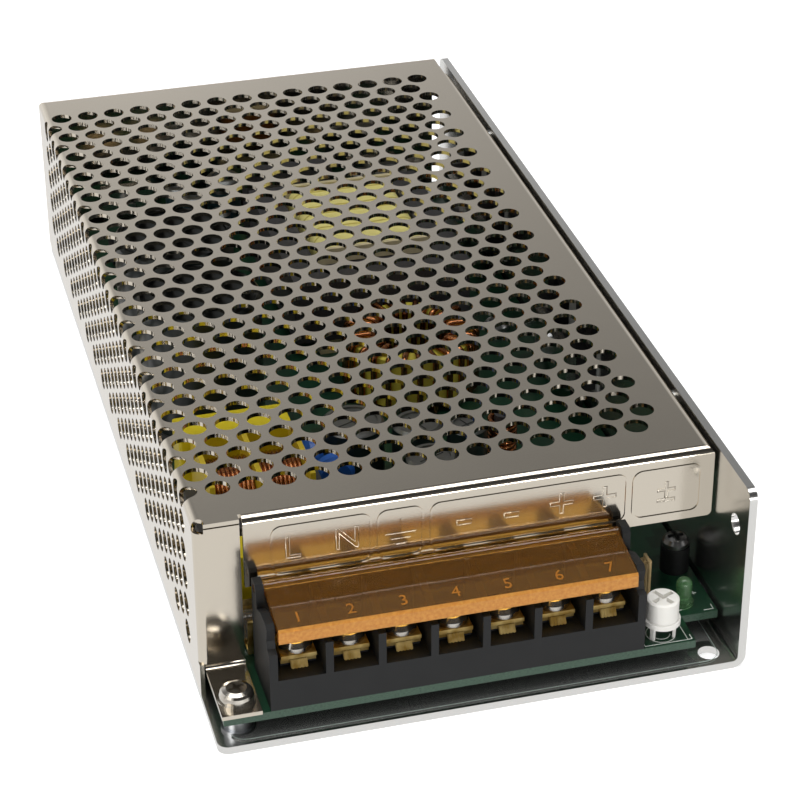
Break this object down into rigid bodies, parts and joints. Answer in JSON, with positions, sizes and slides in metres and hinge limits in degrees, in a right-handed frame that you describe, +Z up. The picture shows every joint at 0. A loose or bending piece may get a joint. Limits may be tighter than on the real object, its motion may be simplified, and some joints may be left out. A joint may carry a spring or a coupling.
{
  "type": "mesh case switching power supply",
  "caption": "Enclosed switching power supply with a perforated plated cover, folded aluminium tray and a seven-way terminal block under an amber flap.",
  "frame": {"origin": "centre of the footprint, on the underside of the tray", "axes": "+X across the terminals towards the tray's solid side wall, +Y away from the terminals towards the back, +Z up"},
  "size_m": [0.098, 0.199, 0.038],
  "materials": {
    "tray_aluminium": "satin rolled sheet",
    "plated_sheet": "bright plated steel sheet",
    "zinc_screws": "zinc plated",
    "plated_screws": "bright nickel plated",
    "clear_film": "clear insulating film over metal",
    "board_laminate": "green solder mask",
    "black_plastic": "moulded, slight sheen",
    "terminal_brass": "tinned brass",
    "amber_plastic": "clear amber moulding",
    "white_plastic": "moulded nylon",
    "lamp_plastic": "tinted diffused epoxy",
    "fuse_glass": "clear tube with plated end caps",
    "thermistor_coat": "dipped coat",
    "yellow_plastic": "moulded",
    "ferrite": "sintered ferrite",
    "copper_wire": "enamelled copper wire",
    "blue_coat": "dipped coat",
    "dark_sleeve": "printed shrink sleeve",
    "cream_plastic": "moulded",
    "yellow_tape": "polyester tape",
    "amber_tape": "polyimide tape",
    "ring_coat": "coated powder core",
    "grey_pad": "silicone pad",
    "teal_sleeve": "shrink sleeve",
    "resistor_coat": "lacquered"
  },
  "bodies": {
    "supply": {"tray": "tray_aluminium", "cover": "plated_sheet", "cover_screws": "zinc_screws", "insulation_sheet": "clear_film", "circuit_board": "board_laminate", "standoffs": "zinc_screws", "foot_screw": "plated_screws", "board_screws": "zinc_screws", "raised_screw": "plated_screws", "raised_screw_bush": "black_plastic", "terminal_block": "black_plastic", "terminal_plates": "terminal_brass", "adjuster_base": "white_plastic", "pilot_lamp": "lamp_plastic", "fuse": "fuse_glass", "fuse_clips": "terminal_brass", "thermistor": "thermistor_coat", "choke_bobbin": "yellow_plastic", "choke_core": "ferrite", "choke_coils": "copper_wire", "film_capacitors": "yellow_plastic", "disc_capacitors": "blue_coat", "bridge_rectifier": "black_plastic", "bulk_capacitors": "dark_sleeve", "transformer_core": "ferrite", "transformer_bobbin": "cream_plastic", "transformer_coil": "yellow_tape", "driver_core": "ferrite", "driver_bobbin": "cream_plastic", "driver_coil": "amber_tape", "control_chip": "black_plastic", "output_choke_core": "ring_coat", "output_choke_coil": "copper_wire", "output_capacitors": "dark_sleeve", "rod_choke_core": "ferrite", "rod_choke_coil": "copper_wire", "power_devices": "black_plastic", "device_pads": "grey_pad", "device_bars": "tray_aluminium", "bar_screws": "zinc_screws", "small_capacitors": "teal_sleeve", "resistors": "resistor_coat"},
    "flap": {"flap": "amber_plastic"},
    "adjuster_knob": {"adjuster_knob": "white_plastic"},
    "clamp_1": {"clamp_1": "plated_screws"},
    "terminal_screw_1": {"terminal_screw_1": "plated_screws"},
    "clamp_2": {"clamp_2": "plated_screws"},
    "terminal_screw_2": {"terminal_screw_2": "plated_screws"},
    "clamp_3": {"clamp_3": "plated_screws"},
    "terminal_screw_3": {"terminal_screw_3": "plated_screws"},
    "clamp_4": {"clamp_4": "plated_screws"},
    "terminal_screw_4": {"terminal_screw_4": "plated_screws"},
    "clamp_5": {"clamp_5": "plated_screws"},
    "terminal_screw_5": {"terminal_screw_5": "plated_screws"},
    "clamp_6": {"clamp_6": "plated_screws"},
    "terminal_screw_6": {"terminal_screw_6": "plated_screws"},
    "clamp_7": {"clamp_7": "plated_screws"},
    "terminal_screw_7": {"terminal_screw_7": "plated_screws"}
  },
  "joints": [
    {"name": "flap_hinge", "type": "hinge", "parent": "supply", "child": "flap", "pos_m": [-0.00475, -0.0864, 0.0249], "axis": [-1, 0, 0], "range_deg": [0, 105]},
    {"name": "adjuster_turn", "type": "hinge", "parent": "supply", "child": "adjuster_knob", "pos_m": [0.0342, -0.0946, 0.0106], "axis": [0, 0, 1], "range_deg": [-130, 130]},
    {"name": "clamp_lift_1", "type": "slide", "parent": "supply", "child": "clamp_1", "axis": [0, 0, 1], "range_m": [0, 0.0025]},
    {"name": "terminal_turn_1", "type": "hinge", "parent": "clamp_1", "child": "terminal_screw_1", "pos_m": [-0.03325, -0.0914, 0.0154], "axis": [0, 0, 1], "range_deg": [0, 1500]},
    {"name": "clamp_lift_2", "type": "slide", "parent": "supply", "child": "clamp_2", "axis": [0, 0, 1], "range_m": [0, 0.0025]},
    {"name": "terminal_turn_2", "type": "hinge", "parent": "clamp_2", "child": "terminal_screw_2", "pos_m": [-0.02375, -0.0914, 0.0154], "axis": [0, 0, 1], "range_deg": [0, 1500]},
    {"name": "clamp_lift_3", "type": "slide", "parent": "supply", "child": "clamp_3", "axis": [0, 0, 1], "range_m": [0, 0.0025]},
    {"name": "terminal_turn_3", "type": "hinge", "parent": "clamp_3", "child": "terminal_screw_3", "pos_m": [-0.01425, -0.0914, 0.0154], "axis": [0, 0, 1], "range_deg": [0, 1500]},
    {"name": "clamp_lift_4", "type": "slide", "parent": "supply", "child": "clamp_4", "axis": [0, 0, 1], "range_m": [0, 0.0025]},
    {"name": "terminal_turn_4", "type": "hinge", "parent": "clamp_4", "child": "terminal_screw_4", "pos_m": [-0.00475, -0.0914, 0.0154], "axis": [0, 0, 1], "range_deg": [0, 1500]},
    {"name": "clamp_lift_5", "type": "slide", "parent": "supply", "child": "clamp_5", "axis": [0, 0, 1], "range_m": [0, 0.0025]},
    {"name": "terminal_turn_5", "type": "hinge", "parent": "clamp_5", "child": "terminal_screw_5", "pos_m": [0.00475, -0.0914, 0.0154], "axis": [0, 0, 1], "range_deg": [0, 1500]},
    {"name": "clamp_lift_6", "type": "slide", "parent": "supply", "child": "clamp_6", "axis": [0, 0, 1], "range_m": [0, 0.0025]},
    {"name": "terminal_turn_6", "type": "hinge", "parent": "clamp_6", "child": "terminal_screw_6", "pos_m": [0.01425, -0.0914, 0.0154], "axis": [0, 0, 1], "range_deg": [0, 1500]},
    {"name": "clamp_lift_7", "type": "slide", "parent": "supply", "child": "clamp_7", "axis": [0, 0, 1], "range_m": [0, 0.0025]},
    {"name": "terminal_turn_7", "type": "hinge", "parent": "clamp_7", "child": "terminal_screw_7", "pos_m": [0.02375, -0.0914, 0.0154], "axis": [0, 0, 1], "range_deg": [0, 1500]}
  ],
  "couplings": [
    {"joint": "terminal_turn_1", "follows": "clamp_lift_1", "rad_per_m": 10472},
    {"joint": "terminal_turn_2", "follows": "clamp_lift_2", "rad_per_m": 10472},
    {"joint": "terminal_turn_3", "follows": "clamp_lift_3", "rad_per_m": 10472},
    {"joint": "terminal_turn_4", "follows": "clamp_lift_4", "rad_per_m": 10472},
    {"joint": "terminal_turn_5", "follows": "clamp_lift_5", "rad_per_m": 10472},
    {"joint": "terminal_turn_6", "follows": "clamp_lift_6", "rad_per_m": 10472},
    {"joint": "terminal_turn_7", "follows": "clamp_lift_7", "rad_per_m": 10472}
  ]
}
